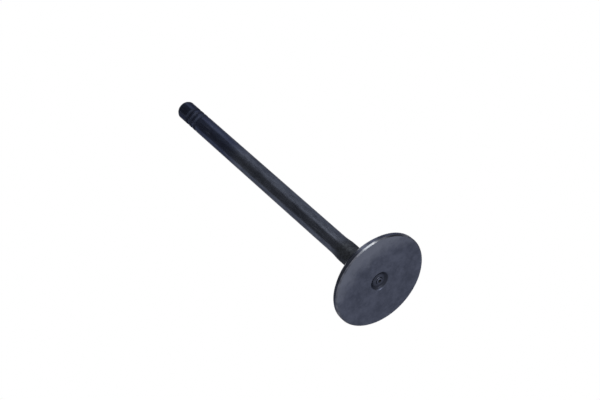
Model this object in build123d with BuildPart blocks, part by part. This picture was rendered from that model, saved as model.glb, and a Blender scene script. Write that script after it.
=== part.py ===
"""Poppet valve of a diesel engine: one forged, turned and ground piece of nitrided steel.

Millimetres. The origin is the centre of the combustion face and +Z runs along the stem to the tip,
so the valve stands on its head. Each size below can be set by itself.
"""

import os
from math import cos, radians, sin, tan

from build123d import *

# Overall
head_diameter = 49.3
stem_diameter = 10.0
overall_length = 172.4

# Head: margin above the combustion face, then the seat cone, then the back of the head
face_chamfer = 0.6
margin_height = 2.3
seat_width = 3.0  # along the cone
seat_angle = 45.0  # from the combustion face
back_angle = 20.0  # from the combustion face
seat_edge_round = 0.5
underhead_radius = 14.5

# Neck: left as forged, a little thicker than the ground stem that it runs out to
neck_diameter = 10.9
neck_top = 26.6  # where it starts to run out
neck_run_out_length = 7.6
neck_shoulder_share = 0.2  # of the run-out, rounded outwards; the rest is hollow

# Tip
tip_chamfer_width = 0.5  # across the stem
tip_chamfer_length = 1.0  # along the stem

# Keeper grooves: round bottomed, counted down from the tip
groove_count = 3
tip_to_groove = 9.4  # to the middle of the first one
groove_pitch = 3.65
groove_radius = 1.15
groove_depth = 0.8
groove_edge_chamfer = 0.12

# Recess turned in the middle of the combustion face, round a low boss with a lathe centre's mark in it
recess_mouth_diameter = 10.4
recess_floor_diameter = 7.2
recess_depth = 1.0
recess_foot_round = 0.5
recess_mouth_round = 0.2
boss_diameter = 3.2
boss_top_depth = 0.2  # below the combustion face
boss_edge_round = 0.25
centre_mark_diameter = 1.6
centre_mark_angle = 60.0
centre_hole_diameter = 0.9
centre_hole_depth = 2.0

# Radii and heights that follow from the sizes
head_radius = head_diameter / 2
stem_radius = stem_diameter / 2
neck_radius = neck_diameter / 2
seat_inner_radius = head_radius - seat_width * cos(radians(seat_angle))
seat_top = margin_height + seat_width * sin(radians(seat_angle))
back_top = seat_top + (seat_inner_radius - neck_radius) * tan(radians(back_angle))
stem_bottom = neck_top + neck_run_out_length
shoulder_end = (
    neck_radius - neck_shoulder_share * (neck_radius - stem_radius),
    neck_top + neck_shoulder_share * neck_run_out_length,
)
recess_mouth_radius = recess_mouth_diameter / 2
recess_floor_radius = recess_floor_diameter / 2
boss_radius = boss_diameter / 2
groove_heights = [overall_length - tip_to_groove - n * groove_pitch for n in range(groove_count)]
groove_reach = (groove_radius**2 - (groove_radius - groove_depth) ** 2) ** 0.5  # half its width


def corner(sketch, radius, height):
    """The vertex of a half section nearest to this radius and height."""
    return sketch.vertices().sort_by_distance((radius, height))[0]


with BuildPart() as valve:
    # Half section of the whole valve, turned about the stem
    with BuildSketch(Plane.XZ) as section:
        with BuildLine():
            Polyline(
                (0, 0),
                (head_radius, 0),
                (head_radius, margin_height),
                (seat_inner_radius, seat_top),
                (neck_radius, back_top),
                (neck_radius, neck_top),
            )
            # The neck runs out to the stem over a short shoulder and a long shallow hollow
            shoulder = TangentArc((neck_radius, neck_top), shoulder_end, tangent=(0, 1))
            TangentArc(shoulder @ 1, (stem_radius, stem_bottom), tangent=shoulder % 1)
            Polyline(
                (stem_radius, stem_bottom),
                (stem_radius, overall_length - tip_chamfer_length),
                (stem_radius - tip_chamfer_width, overall_length),
                (0, overall_length),
                (0, 0),
            )
        make_face()
        chamfer(corner(section, head_radius, 0), face_chamfer)
        fillet(corner(section, seat_inner_radius, seat_top), seat_edge_round)
        fillet(corner(section, neck_radius, back_top), underhead_radius)

        # Keeper grooves, their edges broken by small chamfers
        with Locations(*[(stem_radius - groove_depth + groove_radius, z) for z in groove_heights]):
            Circle(groove_radius, mode=Mode.SUBTRACT)
        groove_edges = [
            corner(section, stem_radius, height + side * groove_reach)
            for height in groove_heights
            for side in (-1, 1)
        ]
        chamfer(groove_edges, groove_edge_chamfer)

        # Recess in the combustion face, and the boss left in the middle of it
        with BuildLine():
            Polyline(
                (0, 0),
                (recess_mouth_radius, 0),
                (recess_floor_radius, recess_depth),
                (boss_radius, recess_depth),
                (boss_radius, boss_top_depth),
                (0, boss_top_depth),
                close=True,
            )
        make_face(mode=Mode.SUBTRACT)
        fillet(corner(section, recess_mouth_radius, 0), recess_mouth_round)
        fillet(corner(section, recess_floor_radius, recess_depth), recess_foot_round)
        fillet(corner(section, boss_radius, recess_depth), recess_foot_round)
        fillet(corner(section, boss_radius, boss_top_depth), boss_edge_round)
    revolve(axis=Axis.Z)

    # The mark that the lathe centre leaves in the boss
    with Locations(Plane(origin=(0, 0, boss_top_depth), z_dir=(0, 0, -1))):
        CounterSinkHole(
            radius=centre_hole_diameter / 2,
            counter_sink_radius=centre_mark_diameter / 2,
            depth=centre_hole_depth,
            counter_sink_angle=centre_mark_angle,
        )

valve.part.label = "valve"

os.makedirs("parts", exist_ok=True)
export_step(valve.part, "parts/valve.step")
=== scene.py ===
import math

import bpy
from mathutils import Matrix, Vector


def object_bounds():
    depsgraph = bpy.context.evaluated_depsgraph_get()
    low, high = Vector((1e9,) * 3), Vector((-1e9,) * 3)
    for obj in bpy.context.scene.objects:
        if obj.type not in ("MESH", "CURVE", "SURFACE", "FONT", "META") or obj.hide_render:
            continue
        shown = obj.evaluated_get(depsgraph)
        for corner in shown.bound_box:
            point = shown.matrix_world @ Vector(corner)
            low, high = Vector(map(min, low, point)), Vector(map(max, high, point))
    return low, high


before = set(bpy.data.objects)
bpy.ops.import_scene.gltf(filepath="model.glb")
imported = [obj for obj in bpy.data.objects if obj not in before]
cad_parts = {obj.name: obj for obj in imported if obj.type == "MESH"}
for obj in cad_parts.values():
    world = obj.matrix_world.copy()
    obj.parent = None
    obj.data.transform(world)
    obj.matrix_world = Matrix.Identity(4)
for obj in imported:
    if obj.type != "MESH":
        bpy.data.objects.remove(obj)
cad_low, cad_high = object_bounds()

MM = 0.001
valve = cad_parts["valve"]
LENGTH = cad_high.z

# Heights above the combustion face at which the valve's forms, finishes and painted light start and end, in mm
ON_THE_FACE = 0.02
CHAMFER_TOP = 0.6
HOLE_TOP = 3.0
SEAT_TOP = 4.46
FORGED_TOP, GROUND_BOTTOM = 24.0, 34.2
SHEEN_BAND_START, SHEEN_BAND_FULL, SHEEN_BAND_END = 25.0, 32.0, 46.0
TIP_SHADE_START, TIP_SHADE_FULL = 110.0, 129.0
TIP_DARK_START, TIP_DARK_FULL = 152.0, 167.0
GROOVES_BOTTOM, GROOVES_TOP = 154.4, 164.3
TIP_CHAMFER_BOTTOM, TIP_CHAMFER_TOP = 171.4, 172.39

# Radii from the stem's axis, in mm
STEM_RADIUS, GROOVE_EDGE_RADIUS = 5.0, 4.88
MARK_RADIUS = 0.82
BOSS_MIDDLE_START, BOSS_MIDDLE_FULL = 1.25, 0.8
RECESS_FOOT_START, RECESS_FOOT_FULL = 2.7, 3.5
RECESS_WALL_START, RECESS_WALL_END = 4.4, 5.1
RECESS_RADIUS = 5.25
FACE_RADIUS = 24.05

# Place on the face that lies opposite its side with the painted sheen, and distances from it, in mm
OPPOSITE_RIM = (-3.0, 24.0, 0.0)
SHEEN_START, SHEEN_FULL, SHEEN_WANDER = 42.0, 52.0, 14.0

# Depths in the recess, in mm
RECESS_MOUTH, RECESS_INSIDE = 0.1, 0.4
BOSS_TOP = 0.21

# The camera looks up at the head from below, tilted so that the stem leans up and to the left
IMAGE_WIDTH, IMAGE_HEIGHT = 600, 400
LENS, SENSOR = 100.0, 36.0
CAMERA_DISTANCE = 766.42 * MM
CAMERA_ELEVATION = math.radians(-37.62)
FACE_CENTRE_PX = (380.05, 281.36)
TIP_CENTRE_PX = (185.62, 109.44)


def srgb(code):
    """A hex colour as linear red, green, blue and alpha."""
    channels = [int(code[i:i + 2], 16) / 255 for i in (0, 2, 4)]
    return [c / 12.92 if c <= 0.04045 else ((c + 0.055) / 1.055) ** 2.4 for c in channels] + [1.0]


# Nitrided steel: dark blue-grey metal, brighter where it is ground, duller where it is left as forged
STEEL_LIGHT, STEEL_DARK = srgb("4B4F5E"), srgb("3A3E4B")
STEM_LIGHT, STEM_DARK = srgb("515663"), srgb("3B3F4A")
# Painted shade: darker, bluer steel for the stem towards the tip
SHADED_STEM_LIGHT, SHADED_STEM_DARK = srgb("373D4F"), srgb("2C3041")
FORGED_LIGHT, FORGED_DARK = srgb("3D4046"), srgb("2D2F34")
EDGE_WORN, EDGE_DARK = srgb("5B5D67"), srgb("41444E")
# Paler steel, for the scratches and for the painted sheen on the face and above the neck
WEAR_AND_SHEEN = srgb("666A77")
# Dark oxide, and also the colour of the painted shade in the grooves and the recess
OXIDE_AND_SHADE = srgb("15171D")
GRAZING_TINT = (0.46, 0.46, 0.48, 1.0)

# How far a second colour covers the first, at most
SHEEN_BAND_SHARE, TIP_OXIDE_SHARE, GROOVE_SHADE_SHARE, SCRATCH_SHARE = 0.12, 0.35, 0.3, 0.45
SHEEN_SHARE, BOSS_OXIDE_SHARE, FOOT_SHADE_SHARE = 0.65, 0.3, 0.7
WALL_SHADE_PART, BOSS_MIDDLE_SHARE = 0.6, 0.4

# Roughness: one number, or that of the smoothest and of the roughest tool marks
STEM_ROUGHNESS, FACE_ROUGHNESS, RIM_ROUGHNESS = (0.25, 0.31), (0.28, 0.34), (0.22, 0.28)
FORGED_ROUGHNESS, GROOVE_ROUGHNESS, RECESS_ROUGHNESS = 0.42, 0.6, 0.42
EDGE_ROUGHNESS, HOLE_ROUGHNESS = 0.28, 0.55

# Spacing of the tool marks and depth of the relief, in mm
STEM_MARKS, FACE_RINGS, RIM_MARKS = 0.8, 0.8, 0.4
SCALE_DEPTH, HOLE_DEPTH, FINE_DEPTH = 0.02, 0.01, 0.002
STEM_MARKS_TO_SCALE = 0.12

# What nodes of these kinds are set to, unless a call says otherwise
USUAL_SETTINGS = {
    "MapRange": {"interpolation_type": "SMOOTHSTEP"},
    "Mix": {"data_type": "RGBA"},
    "Math": {"operation": "MULTIPLY"},
}


def in_use(sockets, key=0):
    """The socket of this name or number, among those that the node's settings leave in use."""
    used = [socket for socket in sockets if socket.enabled]
    return used[key] if isinstance(key, int) else next(socket for socket in used if socket.name == key)


def add(tree, kind, inputs=None, **settings):
    """Add a node. Inputs maps a socket's name or number to a value, or to the node or output that feeds it."""
    node = tree.nodes.new("ShaderNode" + kind)
    for name, value in {**USUAL_SETTINGS.get(kind, {}), **settings}.items():
        setattr(node, name, value)
    for key, value in (inputs or {}).items():
        if isinstance(value, bpy.types.Node):
            value = in_use(value.outputs)
        if isinstance(value, bpy.types.NodeSocket):
            tree.links.new(value, in_use(node.inputs, key))
        else:
            in_use(node.inputs, key).default_value = value
    return node


def new_material(name):
    material = bpy.data.materials.new(name)
    material.use_nodes = True
    material.node_tree.nodes.clear()
    return material, material.node_tree


def place_in_mm(tree):
    """Object coordinates in mm, the height above the combustion face and the radius from the stem's axis."""
    metres = add(tree, "TexCoord").outputs["Object"]
    spot = add(tree, "VectorMath", {0: metres, "Scale": 1 / MM}, operation="SCALE")
    split = add(tree, "SeparateXYZ", {0: spot})
    flat = add(tree, "CombineXYZ", {"X": split.outputs["X"], "Y": split.outputs["Y"]})
    return spot, split.outputs["Z"], add(tree, "VectorMath", {0: flat}, operation="LENGTH")


def mottle(tree, spot, size, detail, grain, low, high):
    """Patches of about this size in mm, from 0 below the noise's low level to 1 above its high level. More
    detail and grain bring out the smaller patches in them."""
    noise = add(tree, "TexNoise", {"Vector": spot, "Scale": 1 / size, "Detail": detail, "Roughness": grain})
    return add(tree, "MapRange", {"Value": noise, "From Min": low, "From Max": high})


def band(tree, place, start, full, full_end, end):
    """1 along a stretch of heights in mm and 0 off it, with a soft change at both ends."""
    rise = add(tree, "MapRange", {"Value": place, "From Min": start, "From Max": full})
    fall = add(tree, "MapRange", {"Value": place, "From Min": full_end, "From Max": end,
                                  "To Min": 1.0, "To Max": 0.0})
    return add(tree, "Math", {0: rise, 1: fall})


def tool_marks(tree, along, spot, spacing, roughness):
    """Marks left by a wheel or a tool at this spacing in mm, along a height or a radius. They wander by 0.3 mm
    over 9 mm. Gives the marks, and the roughness that goes with them."""
    wander = add(tree, "TexNoise", {"Vector": spot, "Scale": 1 / 9.0, "Detail": 0.0, "Roughness": 0.5})
    drift = add(tree, "Math", {0: wander, 1: 0.3})
    place = add(tree, "Math", {0: along, 1: drift}, operation="ADD")
    marks = add(tree, "TexNoise", {"W": place, "Scale": 1 / spacing, "Detail": 2.0, "Roughness": 0.6},
                noise_dimensions="1D")
    smooth, rough = roughness
    return marks, add(tree, "MapRange", {"Value": marks, "From Min": 0.2, "From Max": 0.8,
                                         "To Min": smooth, "To Max": rough})


def steel(tree, colour, roughness, relief, depth):
    """The shader that every finish of the valve ends in; relief is raised by a depth in mm."""
    bump = add(tree, "Bump", {"Height": relief, "Distance": depth * MM, "Strength": 1.0})
    surface = add(tree, "BsdfPrincipled", {
        "Base Color": colour,
        "Metallic": 1.0,
        "Roughness": roughness,
        "Specular Tint": GRAZING_TINT,
        "Normal": bump,
    })
    add(tree, "OutputMaterial", {"Surface": surface})


def nitrided_shaft():
    """Back of the head and neck as forged, stem ground: the eye sees a dull dark neck that clears into a soft
    shine, with a painted sheen just above where the grinding starts. Streaks of uneven oxide and faint
    scratches run up the stem, and fine marks run round it. Real grinding marks are 0.05 mm apart, too fine, so
    these are 0.8 mm apart.
    Towards the tip, painted shade makes the stem bluer and darker, and the hardened end is the darkest. The
    keeper grooves keep the matt skin of their form tool, and painted shade darkens them."""
    material, tree = new_material("nitrided_shaft")
    spot, height, radius = place_in_mm(tree)
    ground = add(tree, "MapRange", {"Value": height, "From Min": FORGED_TOP, "From Max": GROUND_BOTTOM})

    # Oxide in streaks four times as long as they are wide, paler low down as painted sheen, and darker and
    # bluer up the stem as painted shade
    drawn_up = add(tree, "VectorMath", {0: spot, 1: (1, 1, 1 / 4)}, operation="MULTIPLY")
    patches = mottle(tree, drawn_up, 6.0, 6.0, 0.9, 0.37, 0.63)
    polished = add(tree, "Mix", {0: patches, 1: STEM_DARK, 2: STEM_LIGHT})
    # Painted sheen: a trace paler from 25 to 46 mm above the face
    sheen_band = band(tree, height, SHEEN_BAND_START, SHEEN_BAND_FULL, SHEEN_BAND_FULL, SHEEN_BAND_END)
    sheen_band = add(tree, "Math", {0: sheen_band, 1: SHEEN_BAND_SHARE})
    polished = add(tree, "Mix", {0: sheen_band, 1: polished, 2: WEAR_AND_SHEEN})
    # Painted shade: darker and bluer from 110 mm up, for the darker surroundings that the stem reflects there
    shaded_stem = add(tree, "Mix", {0: patches, 1: SHADED_STEM_DARK, 2: SHADED_STEM_LIGHT})
    tip_shade = add(tree, "MapRange", {"Value": height, "From Min": TIP_SHADE_START, "From Max": TIP_SHADE_FULL})
    polished = add(tree, "Mix", {0: tip_shade, 1: polished, 2: shaded_stem})

    # The forging's scale, in grains of 1.3 mm
    scale = mottle(tree, spot, 1.3, 3.0, 0.5, 0.3, 0.7)
    forged = add(tree, "Mix", {0: scale, 1: FORGED_DARK, 2: FORGED_LIGHT})
    colour = add(tree, "Mix", {0: ground, 1: forged, 2: polished})

    # The hardened tip holds more oxide, and painted shade darkens the grooves
    tip_dark = add(tree, "MapRange", {"Value": height, "From Min": TIP_DARK_START, "From Max": TIP_DARK_FULL,
                                      "To Max": TIP_OXIDE_SHARE})
    colour = add(tree, "Mix", {0: tip_dark, 1: colour, 2: OXIDE_AND_SHADE})
    below_skin = add(tree, "MapRange", {"Value": radius, "From Min": STEM_RADIUS - 0.03,
                                        "From Max": GROOVE_EDGE_RADIUS})
    by_grooves = band(tree, height, GROOVES_BOTTOM - 0.5, GROOVES_BOTTOM, GROOVES_TOP, GROOVES_TOP + 0.5)
    in_groove = add(tree, "Math", {0: below_skin, 1: by_grooves})
    groove_shade = add(tree, "Math", {0: in_groove, 1: GROOVE_SHADE_SHARE})
    colour = add(tree, "Mix", {0: groove_shade, 1: colour, 2: OXIDE_AND_SHADE})

    # Scratches from the guide, half a millimetre wide and twenty times as long, in some places only
    drawn_out = add(tree, "VectorMath", {0: spot, 1: (1, 1, 1 / 20)}, operation="MULTIPLY")
    scratches = mottle(tree, drawn_out, 0.5, 1.0, 0.5, 0.61, 0.7)
    scratched = add(tree, "Math", {0: scratches, 1: mottle(tree, spot, 7.0, 2.0, 0.5, 0.45, 0.6)})
    strength = add(tree, "Math", {0: ground, 1: SCRATCH_SHARE})
    colour = add(tree, "Mix", {0: add(tree, "Math", {0: scratched, 1: strength}), 1: colour, 2: WEAR_AND_SHEEN})

    marks, roughness = tool_marks(tree, height, spot, STEM_MARKS, STEM_ROUGHNESS)
    roughness = add(tree, "Mix", {0: ground, 1: FORGED_ROUGHNESS, 2: roughness}, data_type="FLOAT")
    roughness = add(tree, "Mix", {0: in_groove, 1: roughness, 2: GROOVE_ROUGHNESS}, data_type="FLOAT")
    low_marks = add(tree, "Math", {0: marks, 1: STEM_MARKS_TO_SCALE})
    relief = add(tree, "Mix", {0: ground, 1: scale, 2: low_marks}, data_type="FLOAT")
    steel(tree, colour, roughness, relief, SCALE_DEPTH)
    return material


def turned_face():
    """Combustion face, turned on a lathe and then nitrided: flat and even, with faint rings round the middle,
    cloudy where the oxide is uneven, and paler along one side as painted sheen. The feed of the real tool,
    about 0.2 mm, is too fine, so rings are 0.8 mm apart. The recess is rougher, its floor a little darker, and
    painted shade darkens it round its foot and, less, on its wall."""
    material, tree = new_material("turned_face")
    spot, height, radius = place_in_mm(tree)
    patches = mottle(tree, spot, 9.0, 6.0, 0.78, 0.33, 0.67)
    colour = add(tree, "Mix", {0: patches, 1: STEEL_DARK, 2: STEEL_LIGHT})

    # Painted sheen: paler beyond 35 mm or so from a place by the opposite rim; clouds of 7 mm move the limit in
    # and out
    away = add(tree, "VectorMath", {0: spot, 1: OPPOSITE_RIM}, operation="DISTANCE")
    clouds = add(tree, "TexNoise", {"Vector": spot, "Scale": 1 / 7.0, "Detail": 4.0, "Roughness": 0.6})
    uneven = add(tree, "Math", {0: clouds, 1: SHEEN_WANDER, 2: away}, operation="MULTIPLY_ADD")
    sheen_side = add(tree, "MapRange", {"Value": uneven, "From Min": SHEEN_START, "From Max": SHEEN_FULL,
                                    "To Max": SHEEN_SHARE})
    colour = add(tree, "Mix", {0: sheen_side, 1: colour, 2: WEAR_AND_SHEEN})

    # Darker in the recess: its floor a little, by its own oxide, and more as painted shade, most round its foot
    # and less on its wall; and a spot in the middle of the boss
    in_recess = add(tree, "MapRange", {"Value": height, "From Min": RECESS_MOUTH, "From Max": RECESS_INSIDE})
    foot = add(tree, "MapRange", {"Value": radius, "From Min": RECESS_FOOT_START,
                                  "From Max": RECESS_FOOT_FULL,
                                  "To Min": BOSS_OXIDE_SHARE, "To Max": FOOT_SHADE_SHARE})
    wall = add(tree, "MapRange", {"Value": radius, "From Min": RECESS_WALL_START,
                                  "From Max": RECESS_WALL_END, "To Min": 1.0, "To Max": WALL_SHADE_PART})
    # The floor's own oxide and the painted shade round the foot and on the wall, together
    oxide = add(tree, "Math", {0: in_recess, 1: add(tree, "Math", {0: foot, 1: wall})})
    colour = add(tree, "Mix", {0: oxide, 1: colour, 2: OXIDE_AND_SHADE})
    middle = add(tree, "MapRange", {"Value": radius, "From Min": BOSS_MIDDLE_START,
                                    "From Max": BOSS_MIDDLE_FULL, "To Max": BOSS_MIDDLE_SHARE})
    colour = add(tree, "Mix", {0: middle, 1: colour, 2: OXIDE_AND_SHADE})

    rings, roughness = tool_marks(tree, radius, spot, FACE_RINGS, FACE_ROUGHNESS)
    roughness = add(tree, "Mix", {0: in_recess, 1: roughness, 2: RECESS_ROUGHNESS}, data_type="FLOAT")
    steel(tree, colour, roughness, rings, FINE_DEPTH)
    return material


def ground_rim():
    """Margin and seat, ground on a wheel: the smoothest finish of the valve, with marks that run round it. Real
    ones are 0.05 mm apart, too fine, so these are 0.4 mm apart."""
    material, tree = new_material("ground_rim")
    spot, height = place_in_mm(tree)[:2]
    patches = add(tree, "TexNoise", {"Vector": spot, "Scale": 1 / 6.0, "Detail": 2.0, "Roughness": 0.5})
    colour = add(tree, "Mix", {0: patches, 1: STEEL_DARK, 2: STEEL_LIGHT})
    marks, roughness = tool_marks(tree, height, spot, RIM_MARKS, RIM_ROUGHNESS)
    steel(tree, colour, roughness, marks, FINE_DEPTH)
    return material


def worn_edge():
    """Chamfers, where handling has worn the nitrided skin thin: a little paler in places."""
    material, tree = new_material("worn_edge")
    spot = place_in_mm(tree)[0]
    rub = mottle(tree, spot, 3.0, 2.0, 0.5, 0.3, 0.7)
    colour = add(tree, "Mix", {0: rub, 1: EDGE_DARK, 2: EDGE_WORN})
    steel(tree, colour, EDGE_ROUGHNESS, rub, FINE_DEPTH)
    return material


def centre_hole():
    """Mark and hole of the lathe's centre: a drill's rough bore that has kept its black oxide."""
    material, tree = new_material("centre_hole")
    spot = place_in_mm(tree)[0]
    grit = add(tree, "TexNoise", {"Vector": spot, "Scale": 1 / 0.4, "Detail": 3.0, "Roughness": 0.5})
    colour = add(tree, "Mix", {0: grit, 1: OXIDE_AND_SHADE, 2: FORGED_DARK})
    steel(tree, colour, HOLE_ROUGHNESS, grit, HOLE_DEPTH)
    return material


FINISHES = [nitrided_shaft, turned_face, ground_rim, worn_edge, centre_hole]
SHAFT, FACE, RIM, EDGE, HOLE = range(len(FINISHES))


def finish_of(height, radius):
    """Which finish a facet has, from its middle's height and radius in mm."""
    if height < CHAMFER_TOP and FACE_RADIUS < radius:
        return EDGE
    if radius < MARK_RADIUS and BOSS_TOP < height < HOLE_TOP:
        return HOLE
    if height < ON_THE_FACE or radius < RECESS_RADIUS and height < HOLE_TOP:
        return FACE
    if height < SEAT_TOP:
        return RIM
    if TIP_CHAMFER_BOTTOM < height < TIP_CHAMFER_TOP:
        return EDGE
    return SHAFT


def dress_valve():
    valve.data.materials.clear()
    for finish in FINISHES:
        valve.data.materials.append(finish())
    for facet in valve.data.polygons:
        middle = facet.center / MM
        facet.material_index = finish_of(middle.z, math.hypot(middle.x, middle.y))


def pale_floor():
    """Pale near the valve and fading to white away from it. Seen only from above, so that the camera can look
    up at the head."""
    material, tree = new_material("pale_floor")
    seen = add(tree, "LightPath").outputs["Is Camera Ray"]
    back = add(tree, "NewGeometry").outputs["Backfacing"]
    front = add(tree, "Math", {0: 1.0, 1: back}, operation="SUBTRACT")
    away = add(tree, "VectorMath", {0: add(tree, "TexCoord").outputs["Object"]}, operation="LENGTH")
    near = add(tree, "MapRange", {"Value": away, "From Min": 0.12, "From Max": 0.6,
                                  "To Min": 1.0, "To Max": 0.0})
    shown = add(tree, "Math", {0: add(tree, "Math", {0: front, 1: seen}), 1: near})
    clear = add(tree, "BsdfTransparent")
    paint = add(tree, "BsdfDiffuse", {"Color": srgb("F4F4F4")})
    add(tree, "OutputMaterial", {"Surface": add(tree, "MixShader", {0: shown, 1: clear, 2: paint})})
    return material


def new_card(name, size, drop, material):
    """A flat rectangle below the origin, for the floor and the flags."""
    x, y = size[0] / 2, size[1] / 2
    mesh = bpy.data.meshes.new(name)
    corners = [(-x, -y, -drop), (x, -y, -drop), (x, y, -drop), (-x, y, -drop)]
    mesh.from_pydata(corners, [], [(0, 1, 2, 3)])
    mesh.materials.append(material)
    card = bpy.data.objects.new(name, mesh)
    bpy.context.scene.collection.objects.link(card)
    return card


def build_floor():
    floor = new_card("floor", (6.0, 6.0), 0.1 * MM, pale_floor())


def build_world():
    """White to the camera and to the steel's shine, and three quarters as strong as a light."""
    world = bpy.data.worlds.new("studio")
    bpy.context.scene.world = world
    world.use_nodes = True
    tree = world.node_tree
    tree.nodes.clear()
    rays = add(tree, "LightPath").outputs
    seen = add(tree, "Math", {0: rays["Is Camera Ray"], 1: rays["Is Glossy Ray"]}, operation="MAXIMUM")
    seen = add(tree, "Math", {0: seen, 1: rays["Is Transmission Ray"]}, operation="MAXIMUM")
    strength = add(tree, "MapRange", {"Value": seen, "To Min": 0.75, "To Max": 1.0})
    light = add(tree, "Background", {"Color": (1, 1, 1, 1), "Strength": strength})
    add(tree, "OutputWorld", {"Surface": light})


def direction(azimuth, elevation):
    """A direction from the valve, in degrees: azimuth from the camera's side towards +X, elevation above the
    floor."""
    turn, rise = math.radians(azimuth), math.radians(elevation)
    return Vector((math.sin(turn) * math.cos(rise), -math.cos(turn) * math.cos(rise), math.sin(rise)))


def face_valve(holder, towards, distance, target):
    """Put a lamp or a flag in a direction from its target, facing it, out of the camera's sight."""
    holder.location = Vector(target) + towards * distance
    holder.rotation_euler = towards.to_track_quat("Z", "Y").to_euler()
    holder.visible_camera = False


def place_lamp(name, towards, distance, size, radiance, target, colour=(1, 1, 1)):
    """A soft lamp, of a radiance that compares with the world's 1."""
    lamp = bpy.data.lights.new(name, "AREA")
    lamp.shape = "RECTANGLE"
    lamp.size, lamp.size_y = size
    lamp.color = colour
    lamp.energy = radiance * math.pi * size[0] * size[1]
    holder = bpy.data.objects.new(name, lamp)
    bpy.context.scene.collection.objects.link(holder)
    face_valve(holder, towards, distance, target)


def place_flag(name, towards, distance, size, tone, target):
    """A grey flag that only the steel's shine sees."""
    material, tree = new_material(name)
    glow = add(tree, "Emission", {"Color": srgb(tone), "Strength": 1.0})
    add(tree, "OutputMaterial", {"Surface": glow})
    flag = new_card(name, size, 0.0, material)
    face_valve(flag, towards, distance, target)
    flag.visible_diffuse = False
    flag.visible_transmission = False
    flag.visible_shadow = False


def build_lights():
    """Steel shows what stands round it, so the flags give its dark bands and the lamps the shine between them.
    Distances, sizes and places are in metres."""
    head, neck, low_stem, stem = (0, 0, 0), (0, 0, 0.025), (0, 0, 0.03), (0, 0, 0.09)
    below_grooves, grooves = (0, 0, 0.152), (0, 0, 0.16)

    # The stem's dark middle, its right side low down, and more of its middle near the tip
    place_flag("dark_flag", direction(-27, 41), 0.5, (0.68, 0.37), "8A8884", stem)
    place_flag("low_screen", direction(56, 41), 0.48, (0.4, 0.15), "BEBEBE", low_stem)
    place_flag("tip_flag", direction(24, 47), 0.15, (0.09, 0.1), "A0A0A0", below_grooves)
    # The left ends of the grooves, and the chamfer's right side
    place_flag("groove_flag", direction(-85, -10), 0.25, (0.22, 0.18), "606060", grooves)
    place_flag("edge_flag", direction(104, -27), 0.5, (0.32, 0.22), "5C5C5C", head)

    # The sheen above the neck, the walls of the grooves, the chamfer's highlight and the recess's wall
    place_lamp("window", direction(32, 34), 0.35, (0.08, 0.08), 2.4, neck, (1.0, 0.98, 0.9))
    place_lamp("groove_lamp", direction(55, 5), 0.3, (0.1, 0.1), 1.5, grooves)
    place_lamp("low_lamp", direction(44, -46), 0.6, (0.19, 0.12), 22.0, head, (1.0, 0.97, 0.78))
    place_lamp("recess_lamp", direction(78, -58), 0.6, (0.15, 0.15), 9.0, head)
    # Soft light over the whole valve, from below and from above
    place_lamp("side_fill", direction(20, -38), 0.8, (0.35, 0.35), 1.6, (0, 0, 0.08))
    place_lamp("top", direction(60, 60), 1.0, (0.6, 0.6), 0.5, stem)


def pixel_ray(pixel):
    """The direction, in the camera's own axes, that shows at a pixel."""
    focal = LENS / SENSOR * IMAGE_WIDTH
    right, up = pixel[0] - IMAGE_WIDTH / 2, IMAGE_HEIGHT / 2 - pixel[1]
    return Vector((right / focal, up / focal, -1)).normalized()


def axes_of(first, second):
    """Three square axes: the first direction, then the normals of the plane of both."""
    normal = first.cross(second).normalized()
    return Matrix((first, normal.cross(first), normal))


def build_camera():
    """Turned so that the middles of the face and of the tip show at their own pixels."""
    camera = bpy.data.objects.new("camera", bpy.data.cameras.new("camera"))
    bpy.context.scene.collection.objects.link(camera)
    camera.data.lens = LENS
    camera.data.sensor_width = SENSOR
    camera.data.clip_start = 0.01
    place = Vector((0, -math.cos(CAMERA_ELEVATION), math.sin(CAMERA_ELEVATION))) * CAMERA_DISTANCE
    to_face = -place.normalized()
    to_tip = (Vector((0, 0, LENGTH)) - place).normalized()
    in_scene = axes_of(to_face, to_tip)
    in_camera = axes_of(pixel_ray(FACE_CENTRE_PX), pixel_ray(TIP_CENTRE_PX))
    turn = in_scene.transposed() @ in_camera
    camera.matrix_world = Matrix.Translation(place) @ turn.to_4x4()
    bpy.context.scene.camera = camera


dress_valve()
build_floor()
build_world()
build_lights()
build_camera()
bpy.context.scene.view_settings.view_transform = "Standard"
